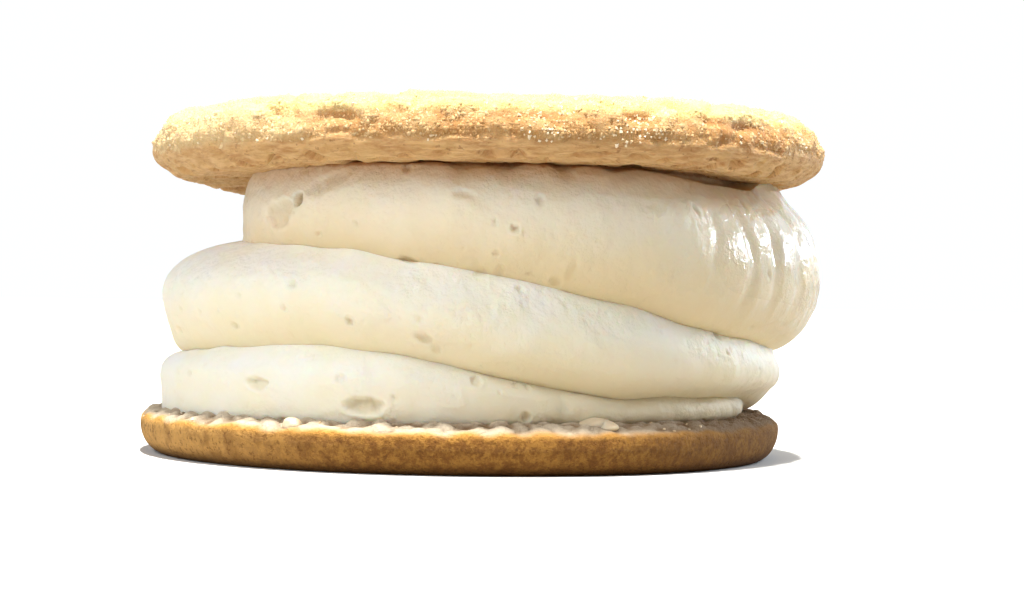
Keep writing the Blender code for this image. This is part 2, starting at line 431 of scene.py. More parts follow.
# In each key the first number is the turn: 0, 1 and 2 face right, and a quarter more faces front.
# Height of the rope's upper edge, which is also the lower edge of the rope one turn later,
# as a share of the way from the cream's base to its top.
SEAM_RISE = (
    (-0.13, 0.000), (-0.03, 0.006), (0.00, 0.014), (0.035, 0.042), (0.07, 0.060),
    (0.17, 0.068), (0.22, 0.130), (0.28, 0.230), (0.33, 0.270), (0.40, 0.240),
    (0.50, 0.210), (0.75, 0.220), (1.00, 0.250), (1.10, 0.330), (1.20, 0.510),
    (1.27, 0.620), (1.35, 0.690), (1.50, 0.730), (1.75, 0.820), (1.90, 0.870),
    (1.93, 0.890), (1.965, 0.980), (1.99, 1.000), (2.045, 0.995), (2.075, 0.955),
    (2.11, 0.960), (2.15, 0.983), (2.20, 1.000),
)
# How far that edge wanders up and down in metres, and how quickly along a turn.
SEAM_WANDER = 0.30 * MM
SEAM_WAVES = 34.0
# Radius of that edge in millimetres, from the ring that stands on the lower biscuit
# (turns -1 to 0) to the ring that meets the upper one (the last whole turn).
SEAM_RADIUS = (
    (-1.00, 25.0), (-0.96, 26.6), (-0.90, 27.4), (-0.75, 27.8), (-0.50, 29.0), (-0.25, 28.0),
    (0.00, 27.6), (0.15, 27.3), (0.25, 27.0), (0.50, 26.8), (0.75, 27.8), (1.00, 30.3), (1.08, 29.5),
    (1.15, 28.8), (1.25, 27.5), (1.38, 24.4), (1.50, 21.1), (1.75, 25.4), (2.00, 30.0),
    (2.10, 28.9), (2.20, 28.3), (2.25, 28.0), (2.38, 24.0), (2.45, 20.7), (2.50, 19.9),
    (2.75, 23.0), (2.85, 23.8), (2.95, 25.4), (3.10, 26.0), (3.15, 26.6), (3.20, 28.3),
)
# Radius of the rope's outermost bulge in millimetres.
CREST_RADIUS = (
    (0.00, 27.3), (0.05, 28.1), (0.12, 28.6), (0.25, 28.8), (0.50, 29.2), (0.75, 29.8),
    (1.00, 30.9), (1.15, 30.4), (1.25, 30.1), (1.50, 29.1), (1.75, 31.2), (2.00, 34.7),
    (2.12, 32.6), (2.25, 29.9), (2.38, 25.0), (2.45, 21.9), (2.50, 21.2), (2.75, 23.6),
    (2.85, 24.1), (2.95, 25.4), (3.10, 25.9), (3.15, 26.5), (3.20, 28.3),
)
# How softly the rope blends into its next turn at that edge: 1 is a round crease, 2 a shallow one.
SEAM_SOFTNESS = (
    (0.00, 1.60), (0.25, 2.00), (0.40, 1.70), (0.50, 0.95), (0.60, 1.10), (1.00, 1.50),
    (1.17, 1.65), (1.23, 2.00), (1.33, 2.00), (1.42, 1.70), (1.50, 1.30), (2.00, 1.15),
)

# Each turn has this many columns, closest together at the front. A whole number of them lies
# before the rope's end, so that every turn's columns meet those of the turn below.
COLUMNS_PER_TURN = 600
COLUMNS_BEFORE_END = 0.3
CROWDING = (COLUMNS_BEFORE_END - TURNS % 1.0) / (1.0 - math.cos(math.tau * COLUMNS_BEFORE_END))
ROWS = 48
WELD = 0.0004 * MM

# The cream settles into the lower biscuit's lumps, by this much, and sticks to the upper one's
# base. At the front it came away in places: (turn, rise of its edge in millimetres).
SETTLED_DEPTH = 1.10 * MM
SETTLING_REACH = 1.6 * MM
STUCK_RISE = (
    (2.100, 0.70), (2.160, 0.70), (2.176, 0.30), (2.186, 0.60), (2.196, 0.50), (2.203, 0.05),
    (2.211, 0.60), (2.220, 0.60), (2.229, 0.10), (2.240, 0.25), (2.252, 0.05), (2.262, 0.60),
    (2.280, 0.50), (2.300, 0.65), (2.370, 0.70),
)

# Just inside that edge the cream sticks to the base all round: share of the edge's radius,
# and height above the cream's own top.
STUCK_INSET = 0.972
STUCK_HEIGHT = 0.75 * MM

# Burst bubbles and hollows at the front: (turn, place across the rope, half length, half width,
# depth, tilt). The sizes are in millimetres and the tilt is in degrees.
BUBBLES = (
    (2.358, 0.44, 2.40, 1.45, 0.50, 10), (2.341, 0.57, 0.75, 0.62, 1.20, 40),
    (2.323, 0.72, 2.90, 0.80, 0.20, 22), (2.250, 0.66, 1.20, 0.40, 0.30, -8),
    (2.278, 0.07, 0.95, 0.35, 0.40, -12), (2.241, 0.05, 0.80, 0.40, 0.20, 20),
    (2.232, 0.14, 0.45, 0.60, 0.20, 0), (2.227, 0.47, 0.45, 0.40, 0.45, 0),
    (2.206, 0.15, 0.70, 0.50, 0.30, -30), (2.200, 0.28, 0.50, 1.10, 0.20, -15),
    (1.303, 0.37, 0.45, 0.42, 0.45, 0), (1.267, 0.32, 0.80, 0.60, 0.45, -20),
    (1.262, 0.26, 0.60, 0.45, 0.30, -35), (1.269, 0.45, 0.40, 0.35, 0.25, 0),
    (1.366, 0.50, 0.40, 0.35, 0.30, 0), (1.337, 0.42, 0.35, 0.30, 0.30, 0),
    (0.355, 0.43, 1.30, 0.65, 0.55, 8), (0.361, 0.45, 0.50, 0.35, 0.25, 0),
    (0.297, 0.28, 2.00, 0.85, 0.70, 3), (0.291, 0.25, 0.60, 0.40, 0.30, 3),
    (0.308, 0.52, 0.60, 0.40, 0.25, 30), (0.341, 0.06, 0.60, 0.35, 0.30, 0),
    (0.108, 0.10, 0.40, 0.45, 0.90, 0),
)

# Small bubbles lie anywhere on the rope. Their half lengths in millimetres are the first number
# and up to the second one more, and most are near the first.
SMALL_BUBBLES = 300
SMALL_BUBBLE_SIZE = (0.18, 0.42)
BUBBLE_SEED = 11

# A bubble's raised lip: its radius and width as shares of the bubble's own, and its height as a
# share of the bubble's depth. Bubbles get more painted shade inside the deeper they are, up to the
# full depth.
LIP_RADIUS = 1.12
LIP_WIDTH = 0.18
LIP_HEIGHT = 0.15
FULL_TINT_DEPTH = 1.1 * MM


def follow(keys, place):
    """Reads a smooth line through (place, value) keys, without overshooting any of them."""
    if place <= keys[0][0]:
        return keys[0][1]
    if place >= keys[-1][0]:
        return keys[-1][1]
    index = max(i for i, key in enumerate(keys) if key[0] <= place)
    steps = [
        (after[1] - before[1]) / (after[0] - before[0])
        for before, after in zip(keys, keys[1:])
    ]

    def slope(i):
        if i == 0 or i == len(steps) or steps[i - 1] * steps[i] <= 0.0:
            return 0.0
        return 2.0 * steps[i - 1] * steps[i] / (steps[i - 1] + steps[i])

    (start, low), (end, high) = keys[index], keys[index + 1]
    span = end - start
    t = (place - start) / span
    return (
        low * (1 + 2 * t) * (1 - t) ** 2
        + high * t * t * (3 - 2 * t)
        + span * slope(index) * t * (1 - t) ** 2
        + span * slope(index + 1) * t * t * (t - 1)
    )


def hump(value, start, full, fading, gone):
    """Runs smoothly up from 0 to 1, stays there and runs down again."""
    return ramp(value, start, full) * (1.0 - ramp(value, fading, gone))


def seam(turn):
    """(radius, height) of the rope's upper edge at a turn, in metres."""
    share = follow(SEAM_RISE, turn)
    height = CREAM_BASE + (CREAM_TOP - CREAM_BASE) * share
    free = min(8.0 * share * (1.0 - share), 1.0)
    height += SEAM_WANDER * free * noise.noise(Vector((turn * SEAM_WAVES, 0.0, 5.0)))
    return follow(SEAM_RADIUS, turn) * MM, height


def rope_section(turn):
    """What the rope's cross-section needs to know at a turn."""
    softness = follow(SEAM_SOFTNESS, turn - 1.0), follow(SEAM_SOFTNESS, turn)
    crest = follow(CREST_RADIUS, turn) * MM
    sagging, squeezed = hump(turn, *SAGGING), hump(turn, *SQUEEZED)
    return turn, seam(turn - 1.0), seam(turn), crest, softness, sagging, squeezed


def cream_point(section, across):
    """A point of the rope's outer face: across runs from 0 at its lower edge to 1 at its upper."""
    turn, low_edge, high_edge, crest, softness, sagging, squeezed = section
    (low_radius, low_height), (high_radius, high_height) = low_edge, high_edge
    lean = math.pi * (across - 0.5)
    share = (0.5 + 0.5 * math.sin(lean)) ** (1.0 + SAG * sagging)
    roundness = softness[lean > 0.0] + SHOULDER_SLUMP * sagging * max(math.sin(lean), 0.0)
    inner = low_radius + (high_radius - low_radius) * share
    thickness = high_height - low_height
    fullness = 1.0 - math.exp(-thickness / MM)
    bulge = (crest - inner) * fullness * math.cos(lean) ** roundness
    height = low_height + thickness * share

    angle = -math.tau * turn
    direction = Vector((math.cos(angle), math.sin(angle), 0.0))
    plain = direction * inner
    plain.z = height
    shift = RIB_SHIFT + RIB_WANDER * noise.noise(plain / (4.0 * MM))
    ribs = squeezed * math.cos(lean) * (0.7 + 0.5 * noise.noise(plain / (3.5 * MM)))
    ribs *= 0.3 + 0.7 * ramp(lean, -0.8, 0.5)
    groove = (0.5 + 0.5 * math.cos(RIB_COUNT * math.tau * (turn + shift))) ** GROOVE_SHARPNESS
    bulge -= RIB_DEPTH * ribs * groove
    uneven = sum(depth * noise.noise(plain / size) for depth, size in CREAM_WAVES)
    drag_mark = noise.noise(Vector((turn * DRAG_MARKS, across * 2.0, 0.0)))
    uneven += DRAG_DEPTH * hump(turn, *DRAGGED) * drag_mark
    point = plain + direction * (bulge + uneven * fullness * math.cos(lean) ** 0.5)
    point.z -= SETTLED_DEPTH * (1.0 - ramp(height, CREAM_BASE, CREAM_BASE + SETTLING_REACH))
    rise = follow(STUCK_RISE, turn - 1.0 if turn > TURNS - 0.1 else turn) * MM
    point.z += rise * ramp(height, CREAM_TOP - SETTLING_REACH, CREAM_TOP)
    return point


def column_turn(column):
    """The turn at which a column of the rope stands."""
    share = column / COLUMNS_PER_TURN
    return share - CROWDING * (1.0 - math.cos(math.tau * share))


def dent(bm, tree, centre, half_length, half_width, depth, tilt):
    """Presses a burst bubble into the cream: steep at its top, with a lip at its foot."""
    tint = bm.verts.layers.float["hollow"]
    outward = Vector((centre.x, centre.y, 0.0)).normalized()
    turned = Quaternion(outward, math.radians(tilt))
    lengthwise = turned @ Vector((0.0, 0.0, 1.0)).cross(outward)
    crosswise = turned @ Vector((0.0, 0.0, 1.0))
    for _, index, _ in tree.find_range(centre, 1.5 * max(half_length, half_width)):
        vertex = bm.verts[index]
        offset = vertex.co - centre
        up = offset.dot(crosswise) / half_width
        far = math.hypot(offset.dot(lengthwise) / half_length, up)
        far *= 1.0 + 0.30 * noise.noise(vertex.co / (1.4 * MM))
        far += 0.20 * noise.noise(vertex.co / (0.6 * MM))
        hollow = 1.0 - ramp(far, 0.50, 1.0)
        steepness = 1.0 + 0.45 * min(max(up, -1.0), 1.0)
        lip = math.exp(-(((far - LIP_RADIUS) / LIP_WIDTH) ** 2)) * (2.0 - steepness)
        vertex.co -= outward * depth * (hollow * steepness - LIP_HEIGHT * lip)
        # Painted shade: how much darker the bubble's inside is painted, more for deeper bubbles.
        vertex[tint] = max(vertex[tint], hollow * min(depth / FULL_TINT_DEPTH, 1.0))


def cream_swirl():
    """The rope as a helical strip, its lower edge welded to its own upper edge a turn before."""
    columns = round((math.floor(TURNS) + COLUMNS_BEFORE_END) * COLUMNS_PER_TURN)
    sections = [rope_section(column_turn(column)) for column in range(columns + 1)]
    bm = bmesh.new()
    along = bm.verts.layers.float.new("along")
    squeezed = bm.verts.layers.float.new("squeezed")
    lobe = bm.verts.layers.float.new("lobe")
    bm.verts.layers.float.new("hollow")
    bmesh.ops.create_grid(bm, x_segments=columns, y_segments=ROWS, size=1.0)
    for vertex in bm.verts:
        section = sections[round((vertex.co.x + 1.0) / 2 * columns)]
        across = round((vertex.co.y + 1.0) / 2 * ROWS) / ROWS
        vertex.co = cream_point(section, across)
        vertex[along] = section[0]
        vertex[squeezed] = section[-1] * math.sin(math.pi * across)
        vertex[lobe] = across
    bmesh.ops.remove_doubles(bm, verts=bm.verts, dist=WELD)
    top_rim = [
        edge for edge in bm.edges
        if edge.is_boundary and min(v.co.z for v in edge.verts) > CREAM_TOP - 0.5 * MM
    ]
    for item in bmesh.ops.extrude_edge_only(bm, edges=top_rim)["geom"]:
        if isinstance(item, bmesh.types.BMVert):
            x, y, _ = item.co
            item.co = (x * STUCK_INSET, y * STUCK_INSET, CREAM_TOP + STUCK_HEIGHT)
    open_edges = [edge for edge in bm.edges if edge.is_boundary]
    ends = bmesh.ops.holes_fill(bm, edges=open_edges, sides=0)["faces"]
    bmesh.ops.poke(bm, faces=ends)
    bmesh.ops.recalc_face_normals(bm, faces=bm.faces)

    bm.verts.ensure_lookup_table()
    tree = kdtree.KDTree(len(bm.verts))
    for index, vertex in enumerate(bm.verts):
        tree.insert(vertex.co, index)
    tree.balance()
    for turn, across, half_length, half_width, depth, tilt in BUBBLES:
        centre = cream_point(rope_section(turn), across)
        dent(bm, tree, centre, half_length * MM, half_width * MM, depth * MM, tilt)
    draw = np.random.default_rng(BUBBLE_SEED)
    smallest, spread = SMALL_BUBBLE_SIZE
    for _ in range(SMALL_BUBBLES):
        turn, across = draw.uniform(0.2, TURNS - 0.2), draw.uniform(0.12, 0.88)
        size = (smallest + spread * draw.random() ** 4) * MM
        centre = cream_point(rope_section(turn), across)
        half_width = size * draw.uniform(0.6, 1.0)
        dent(bm, tree, centre, size, half_width, 0.7 * size, draw.uniform(0, 180))
    return bm


def cream_finish():
    """Whipped milk cream: pale and soft with light inside it, and wet where it was squeezed."""
    finish = Finish("milk_cream")
    along = finish.attribute("along")
    lobe = finish.attribute("lobe")
    x_place = finish.place_along("X")
    squeezed = finish.between(finish.attribute("squeezed"), 0.0, 0.95)
    wet = squeezed * finish.between(lobe, 0.12, 0.5)

    # Turns of the rope, from its start on the lower biscuit to its end under the upper one.
    first = 1.0 - finish.between(along, 0.75, 1.05)
    later = finish.between(along, 0.5, 1.2)
    middle = finish.between(along, 1.55, 1.9)
    last = finish.between(along, 1.7, 2.15)
    end = finish.between(along, 2.15, 2.40)

    # Painted shade: the foot of each turn is darker and warmer, as in the shade under its bulge.
    # The whole first turn, and the feet, are painted darker towards the right, where less light
    # reaches.
    low = (1.0 - finish.between(lobe, 0.0, 0.8)) * (0.35 + later * 0.65)
    rightward = finish.between(x_place, -16.0 * MM, 22.0 * MM)

    # Painted shade: darker and browner just under the upper biscuit, where its overhang shades the
    # cream, but not at the far right.
    touched = 1.0 - finish.between(x_place, 24.6 * MM, 26.6 * MM)
    ragged = finish.place_along("Z") + finish.noise(0.8 * MM, 3.0) * (0.5 * MM)
    painted_shade_under_top = finish.between(ragged, CREAM_TOP - 1.6 * MM, CREAM_TOP + 0.6 * MM)
    # Darker brown on the edge stuck inside the upper biscuit's base: partly crumb stain, partly
    # painted shade in the crevice.
    crevice_shade_and_stain = finish.between(ragged, CREAM_TOP + 0.45 * MM, CREAM_TOP + 0.75 * MM)

    cloud = finish.between(finish.noise(5.0 * MM, 2.0), 0.35, 0.65)
    colour = finish.mix(cloud, paint(250, 250, 242), paint(249, 247, 232))
    colour = finish.layered(colour, (
        # Painted shade: the feet of the turns, darker and warmer.
        (low * 0.75, 235, 216, 170),
        (squeezed * 0.5, 240, 229, 202),
        # Painted shade: the last turns, under the upper biscuit, a little darker.
        (last * 0.15, 238, 226, 198),
        # Painted shade: the first turn and the feet, darker towards the right.
        (rightward * (first * 0.62 + low * 0.38), 202, 183, 142),
        # Painted shade: darker still at the rope's end, deep under the upper biscuit.
        (end * 0.35, 226, 212, 194),
        # Painted shade: the middle turn's foot, darker and warmer under the lobe above it.
        (middle * low * 0.4, 222, 194, 142),
        # Painted shade inside the burst bubbles.
        (finish.attribute("hollow") * 0.45, 200, 172, 108),
        # Painted shade just under the upper biscuit.
        (painted_shade_under_top * touched * 0.6, 204, 162, 118),
        # Partly crumb stain, partly painted shade in the crevice under the upper biscuit.
        (crevice_shade_and_stain * touched * 0.9, 184, 134, 92),
    ))
    finish.feed(finish.shader, {
        "Base Color": colour,
        "Roughness": 0.54 - wet * 0.38,
        "Coat Weight": wet * 0.9,
        "Coat Roughness": 0.05,
        "Subsurface Weight": 0.6,
        "Subsurface Radius": (1.0, 0.66, 0.40),
        "Subsurface Scale": 1.0 * MM,
        "Specular IOR Level": 0.4,
    })

    # Fine wrinkles run across the rope, over a curd-like grain that is stronger in patches.
    around = along * (math.tau * ROPE_RADIUS)
    strokes = finish.node("ShaderNodeCombineXYZ", None, {"X": around, "Y": lobe * (2.5 * MM)})
    wrinkle = finish.noise(0.55 * MM, 3.0, 0.6, strokes)
    curd = finish.noise(1.1 * MM, 3.0, 0.55)
    patch = finish.between(finish.noise(4.0 * MM, 2.0), 0.40, 0.62)
    upper = finish.between(lobe, 0.35, 0.85)
    strength = 0.30 + patch * 0.4 + upper * 0.3
    grain = finish.noise(0.35 * MM, 3.0, 0.6)
    finish.bumps((curd + wrinkle * 0.2 + grain * 0.25) * strength, 0.34 * MM)
    return finish


cream = add_piece("milk_cream_swirl", cream_swirl(), cream_finish())
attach(cream, "root")
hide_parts("milk_cream")

# Smears: dabs of the same cream that touched down on the lower biscuit's rim beside the rope.
# Each is a small flattened drop, stuck to the crumb.

# (x, y, length, width, thickness, turn in degrees), with sizes in millimetres.
SMEARS = (
    (11.2, -25.8, 3.2, 2.6, 1.4, -35), (12.6, -26.7, 2.0, 1.2, 1.1, -40),
    (-14.4, -26.3, 1.7, 1.4, 1.3, 0), (-27.6, 6.0, 2.4, 1.4, 1.3, 80),
    (14.0, 26.0, 2.2, 1.4, 1.3, -20), (-12.5, 26.4, 1.8, 1.2, 1.2, 15),
    (27.9, 7.0, 1.9, 1.2, 1.2, 90),
)
SMEAR_SUNK = 0.60 * MM
SMEAR_LUMPINESS = 0.35


def cream_smears():
    """The dabs as one joined mesh of uneven, flattened drops."""
    bm = bmesh.new()
    for x, y, length, width, thickness, turn in SMEARS:
        drop = bmesh.ops.create_icosphere(bm, subdivisions=4, radius=1.0)["verts"]
        turned = Matrix.Rotation(math.radians(turn), 4, "Z")
        centre = Vector((x * MM, y * MM, lower_top_height(math.hypot(x, y) * MM) - SMEAR_SUNK))
        for vertex in drop:
            lump = noise.noise(vertex.co * 0.9 + Vector((x, y, 0.0)))
            lumpy = 1.0 + SMEAR_LUMPINESS * lump
            size = Vector((length, width, thickness)) * (0.5 * MM * lumpy)
            vertex.co = centre + turned @ (vertex.co * size)
    return bm


def smear_finish():
    """The rope's cream, darker and warmer: painted shade, as for cream lying in shade."""
    finish = Finish("milk_cream_smears")
    tone = finish.noise(1.0 * MM, 3.0)
    finish.feed(finish.shader, {
        # Painted shade: darker than the rope's cream, as cream in shade.
        "Base Color": finish.mix(tone, paint(206, 186, 156), paint(226, 210, 184)),
        "Roughness": 0.45,
        "Subsurface Weight": 0.4,
        "Subsurface Radius": (1.0, 0.62, 0.36),
        "Subsurface Scale": 0.8 * MM,
    })
    finish.bumps(tone, 0.2 * MM)
    return finish


smears = add_piece("milk_cream_smears", cream_smears(), smear_finish())
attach(smears, "root")

# Upper biscuit: the same dough in a wider, thicker round with a craggy, grainy crust.
# It lies base down on the cream, a little off centre, and its base is chipped along the edge.

UPPER_CENTRE = Vector((2.4 * MM, -2.7 * MM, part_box("upper_biscuit")[0].z))
UPPER_RADIUS = 32.3 * MM
UPPER_THICKNESS = 6.3 * MM
UPPER_BELT = 2.4 * MM
UPPER_FOOT_INSET = 3.2 * MM
UPPER_SHOULDER_INSET = 4.2 * MM
UPPER_DOME = 0.3 * MM
UPPER_FINENESS = (80, 0.745, 1, 40, 12)

UPPER_CRUST_START = (UPPER_BELT - 1.0 * MM, UPPER_BELT + 0.1 * MM)
UPPER_CRUST_WANDER = 0.8 * MM
UPPER_CRUST_WAVE = 2.5 * MM
UPPER_SIDE_DEPTH = 0.12 * MM
UPPER_SIDE_WAVE = 1.8 * MM
SIDE_INSET = 0.10 * MM
PIT_SIZE = 0.8 * MM
PIT_DEPTH = 0.08 * MM
UPPER_LUMP_SIZE = 3.6 * MM
UPPER_LUMP_DEPTH = 0.62 * MM
UPPER_LUMP_FULLNESS = 2.4
HOLLOW_SIZE = 3.5 * MM
HOLLOW_DEPTH = 0.48 * MM
CRAG_SIZE = 1.1 * MM
CRAG_DEPTH = 0.28 * MM
ROUGHNESS_SIZE = 0.5 * MM
ROUGHNESS_DEPTH = 0.12 * MM
CRUST_RAISE = 0.28 * MM
CRUST_RAISED = (UPPER_BELT - 0.6 * MM, UPPER_BELT + 0.4 * MM)
CHIP_SIZE = 1.9 * MM
CHIP_DEPTH = 0.85 * MM
BASE_FULLNESS = 0.45 * MM
FRONT_LIFT = 0.12 * MM

# The side's streaks are this many times longer round the biscuit than up its side.
SIDE_STRETCH = 4.0


def upper_relief(point, height, lean):
    """(depth, recess, crust) of the upper biscuit: crags above, a streaky side, a chipped edge."""
    ragged = height + UPPER_CRUST_WANDER * noise.noise(point / UPPER_CRUST_WAVE)
    crust = ramp(ragged, *UPPER_CRUST_START)
    sink = UPPER_SIDE_DEPTH * (1.0 - noise.noise(point / UPPER_SIDE_WAVE))
    sink += PIT_DEPTH * ramp(noise.noise(point / PIT_SIZE), 0.2, 0.5)
    sink += SIDE_INSET * (1.0 - crust)
    recess = 0.0
    if crust > 0.0:
        lump = abs(noise.noise(point / UPPER_LUMP_SIZE)) * UPPER_LUMP_FULLNESS
        cleft = 1.0 - min(lump, 1.0)
        hollow = ramp(noise.noise(point / HOLLOW_SIZE + Vector((2.0, 9.0, 4.0))), 0.0, 0.4)
        crag = 0.5 - 0.5 * noise.noise(point / CRAG_SIZE)
        rough = 0.5 - 0.5 * noise.noise(point / ROUGHNESS_SIZE)
        fine = joint(point, FINE_GRAIN_SIZE)
        depth = UPPER_LUMP_DEPTH * cleft + HOLLOW_DEPTH * hollow
        depth *= 0.45 + 0.55 * ramp(lean, 0.1, 0.6)
        depth += CRAG_DEPTH * crag + ROUGHNESS_DEPTH * rough + FINE_GRAIN_DEPTH * fine
        depth -= CRUST_RAISE * ramp(ragged, *CRUST_RAISED)
        calm = 1.0 - 0.65 * ramp(lean, 1.0, 1.5)
        sink += crust * calm * depth
        # The recess later darkens the crust's colour as painted shade in its clefts and hollows.
        recess = 0.30 * cleft + 0.32 * hollow + 0.14 * crag + 0.10 * rough + 0.14 * fine
    edge = ramp(-lean, 0.4, 1.3)
    chips = ramp(noise.noise(point / CHIP_SIZE + Vector((3.0, 0.0, 7.0))), 0.10, 0.42)
    sink += edge * chips * CHIP_DEPTH

    # The base hangs fuller at the left, most of all behind, and at the right. The front is lifted.
    left = ramp(-point.x, 5.0 * MM, 26.0 * MM)
    back_left = ramp(-point.x, 8.0 * MM, 18.0 * MM) * ramp(point.y, 2.0 * MM, 14.0 * MM)
    right = ramp(point.x, 19.0 * MM, 28.0 * MM)
    hanging = left + 1.6 * back_left + 0.8 * right
    sink -= BASE_FULLNESS * ramp(-lean, 0.9, 1.5) * hanging
    sink += FRONT_LIFT * ramp(-lean, 0.6, 1.3) * ramp(-point.y, 22.0 * MM, 29.0 * MM)
    return sink, recess, crust


def tint_crust(finish, colour, toasted_and_shaded_to, tints):
    """Tints crust or crumbs: browner in clumps; darker low down, partly toasting and partly painted
    shade; painted light makes it paler at the left and on the lit top.

    The four tints, each (strength, red, green, blue), come in that order. The darker low part
    ends at the height given as the third argument.
    """
    height = finish.place_along("Z")
    shares = (
        finish.between(finish.noise(2.6 * MM, 2.0, 0.5), 0.44, 0.58),
        # Darker low down: partly toasting, partly painted shade below the lit top.
        1.0 - finish.between(height, toasted_and_shaded_to - 2.2 * MM, toasted_and_shaded_to),
        # Painted light: paler at the left, where light comes from.
        1.0 - finish.between(finish.place_along("X"), -26.0 * MM, -4.0 * MM),
        # Painted light: paler on the top, which the high key washes out.
        finish.between(height, 30.2 * MM, 31.6 * MM),
    )
    return finish.layered(colour, [
        (share * strength, *tint) for share, (strength, *tint) in zip(shares, tints)
    ])


def upper_finish():
    """Golden crust: pale grains, clefts painted orange-brown as shade, a tan streaky side and base.
    """
    finish = Finish("golden_biscuit")
    on_crust = finish.attribute("crust")
    streak_place = finish.node("ShaderNodeCombineXYZ", None, {
        "X": finish.place_along("X") / SIDE_STRETCH,
        "Y": finish.place_along("Y") / SIDE_STRETCH,
        "Z": finish.attribute("profile"),
    })
    streak = finish.between(finish.noise(0.4 * MM, 4.0, 0.7, streak_place), 0.34, 0.66)
    patch = finish.between(finish.noise(3.5 * MM, 3.0, 0.55), 0.38, 0.64)
    fleck = finish.between(finish.noise(0.6 * MM, 3.0, 0.6), 0.60, 0.70)
    side = finish.mix(streak, paint(186, 138, 86), paint(220, 182, 130))
    side = finish.layered(side, (
        (patch * 0.4, 216, 176, 118),
        (fleck * 0.6, 140, 90, 44),
    ))
    # Painted shade: the crust is darker and more orange in its clefts and hollows, where shade falls.
    recess = finish.between(finish.attribute("recess"), 0.22, 0.62)
    tone = finish.between(finish.noise(1.1 * MM, 4.0, 0.65), 0.35, 0.66)
    grains = finish.mix(tone, paint(208, 162, 106), paint(236, 206, 156))
    crust = finish.mix(recess, grains, paint(194, 136, 80))
    # Painted light and shade on the crust: darker low down, paler at the left and on the lit top.
    crust = tint_crust(finish, crust, 31.4 * MM, (
        (0.45, 192, 134, 76),
        (0.45, 186, 140, 80),
        (0.55, 244, 220, 170),
        (0.8, 245, 227, 152),
    ))
    finish.feed(finish.shader, {
        "Base Color": finish.mix(on_crust, side, crust),
        "Roughness": 0.68,
        "Specular IOR Level": 0.4,
        "Subsurface Weight": 0.5,
        "Subsurface Radius": (1.0, 0.6, 0.3),
        "Subsurface Scale": 0.6 * MM,
    })
    grit = finish.noise(0.45 * MM, 4.0, 0.7)
    finish.bumps(grit * (0.35 + on_crust * 0.9) + streak * 0.25 * (1.0 - on_crust), 0.28 * MM)
    return finish


upper_bm = baked_round(
    UPPER_CENTRE,
    UPPER_RADIUS,
    UPPER_THICKNESS,
    UPPER_BELT,
    (UPPER_FOOT_INSET, UPPER_SHOULDER_INSET),
    dome=UPPER_DOME,
    fineness=UPPER_FINENESS,
    relief=upper_relief,
)
upper_spots = crust_spots(upper_bm)
upper_biscuit = add_piece("upper_biscuit_baked", upper_bm, upper_finish())
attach(upper_biscuit, "root")
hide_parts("upper_biscuit")

# Crumbs and sugar: loose grains of the dough and sugar crystals that baked on to the crust.
# Most of each grain is sunk in it. They lie thickest round its shoulder, the sugar in drifts.

CRUMB_COUNT = 15000
SUGAR_COUNT = 1000
LOWER_SUGAR_COUNT = 30

# Smallest and largest size in millimetres, and the share of it that is sunk.
CRUMB_SIZES = (0.35, 0.75)
CRUMB_SUNK = 0.80
SUGAR_SIZES = (0.16, 0.32)
SUGAR_SUNK = 0.68

# Where the sugar drifted together on the front of the upper biscuit's rim: (angle from the front
# in degrees, height in millimetres).
SUGAR_DRIFTS = ((20.6, 29.4), (24.0, 29.0), (61.0, 27.9), (7.5, 28.6))
DRIFT_RADIUS = 1.7 * MM
DRIFT_STRENGTH = 1.6


def scatter(name, spots, make_template, size_range, sunk, finish, seed, rounded=False):
    """Joins many small copies of one shape, each turned and sized at random, into one piece."""
    draw = np.random.default_rng(seed)
    template = bmesh.new()
    make_template(template)
    corners = np.array([vertex.co[:] for vertex in template.verts])
    faces = np.array([[vertex.index for vertex in face.verts] for face in template.faces])
    template.free()
    points, tones = [], []
    for place, normal in spots:
        size = draw.uniform(*size_range) * MM
        turned = Quaternion(draw.normal(size=4)).normalized().to_matrix()
        stretch = draw.uniform(0.7, 1.3, size=corners.shape[1]) * size / 2
        jitter = draw.uniform(0.85, 1.15, size=(len(corners), 1))
        middle = np.array(place + normal * size * (0.5 - sunk))
        points.append(middle + (corners * stretch * jitter) @ np.array(turned).T)
        tones.append(draw.random())
    count = len(points)
    offsets = (np.arange(count) * len(corners))[:, None, None]
    mesh = bpy.data.meshes.new(name)
    low, high = (np.array(corner) for corner in solid_box)
    points = np.clip(np.concatenate(points), low, high)
    all_faces = (faces[None] + offsets).reshape(-1, faces.shape[1])
    mesh.from_pydata(points.tolist(), [], all_faces.tolist())
    shade = mesh.attributes.new("tone", "FLOAT", "POINT")
    shade.data.foreach_set("value", np.repeat(tones, len(corners)))
    mesh.materials.append(finish.material)
    if rounded:
        mesh.shade_smooth()
    return put_in_scene(name, mesh)


def make_crumb(bm):
    """A rough grain of 8 triangles."""
    bmesh.ops.create_uvsphere(bm, u_segments=4, v_segments=2, radius=1.0)


def make_crystal(bm):
    """A sugar crystal: a block with flat faces."""
    bmesh.ops.create_cube(bm, size=1.6)


def crumb_finish():
    """Loose dough crumbs, some paler and some browner."""
    finish = Finish("golden_crumbs")
    tone = finish.attribute("tone")
    colour = finish.mix(tone, paint(224, 180, 120), paint(246, 220, 176))
    # Painted light and shade on the crumbs, as on the crust: darker low down, paler at the left and
    # on top.
    colour = tint_crust(finish, colour, 31.6 * MM, (
        (0.6, 198, 140, 82),
        (0.45, 194, 150, 90),
        (0.5, 246, 224, 176),
        (0.8, 245, 228, 156),
    ))
    finish.feed(finish.shader, {"Base Color": colour, "Roughness": 0.7})
    finish.bumps(finish.noise(0.2 * MM, 3.0), 0.08 * MM)
    return finish


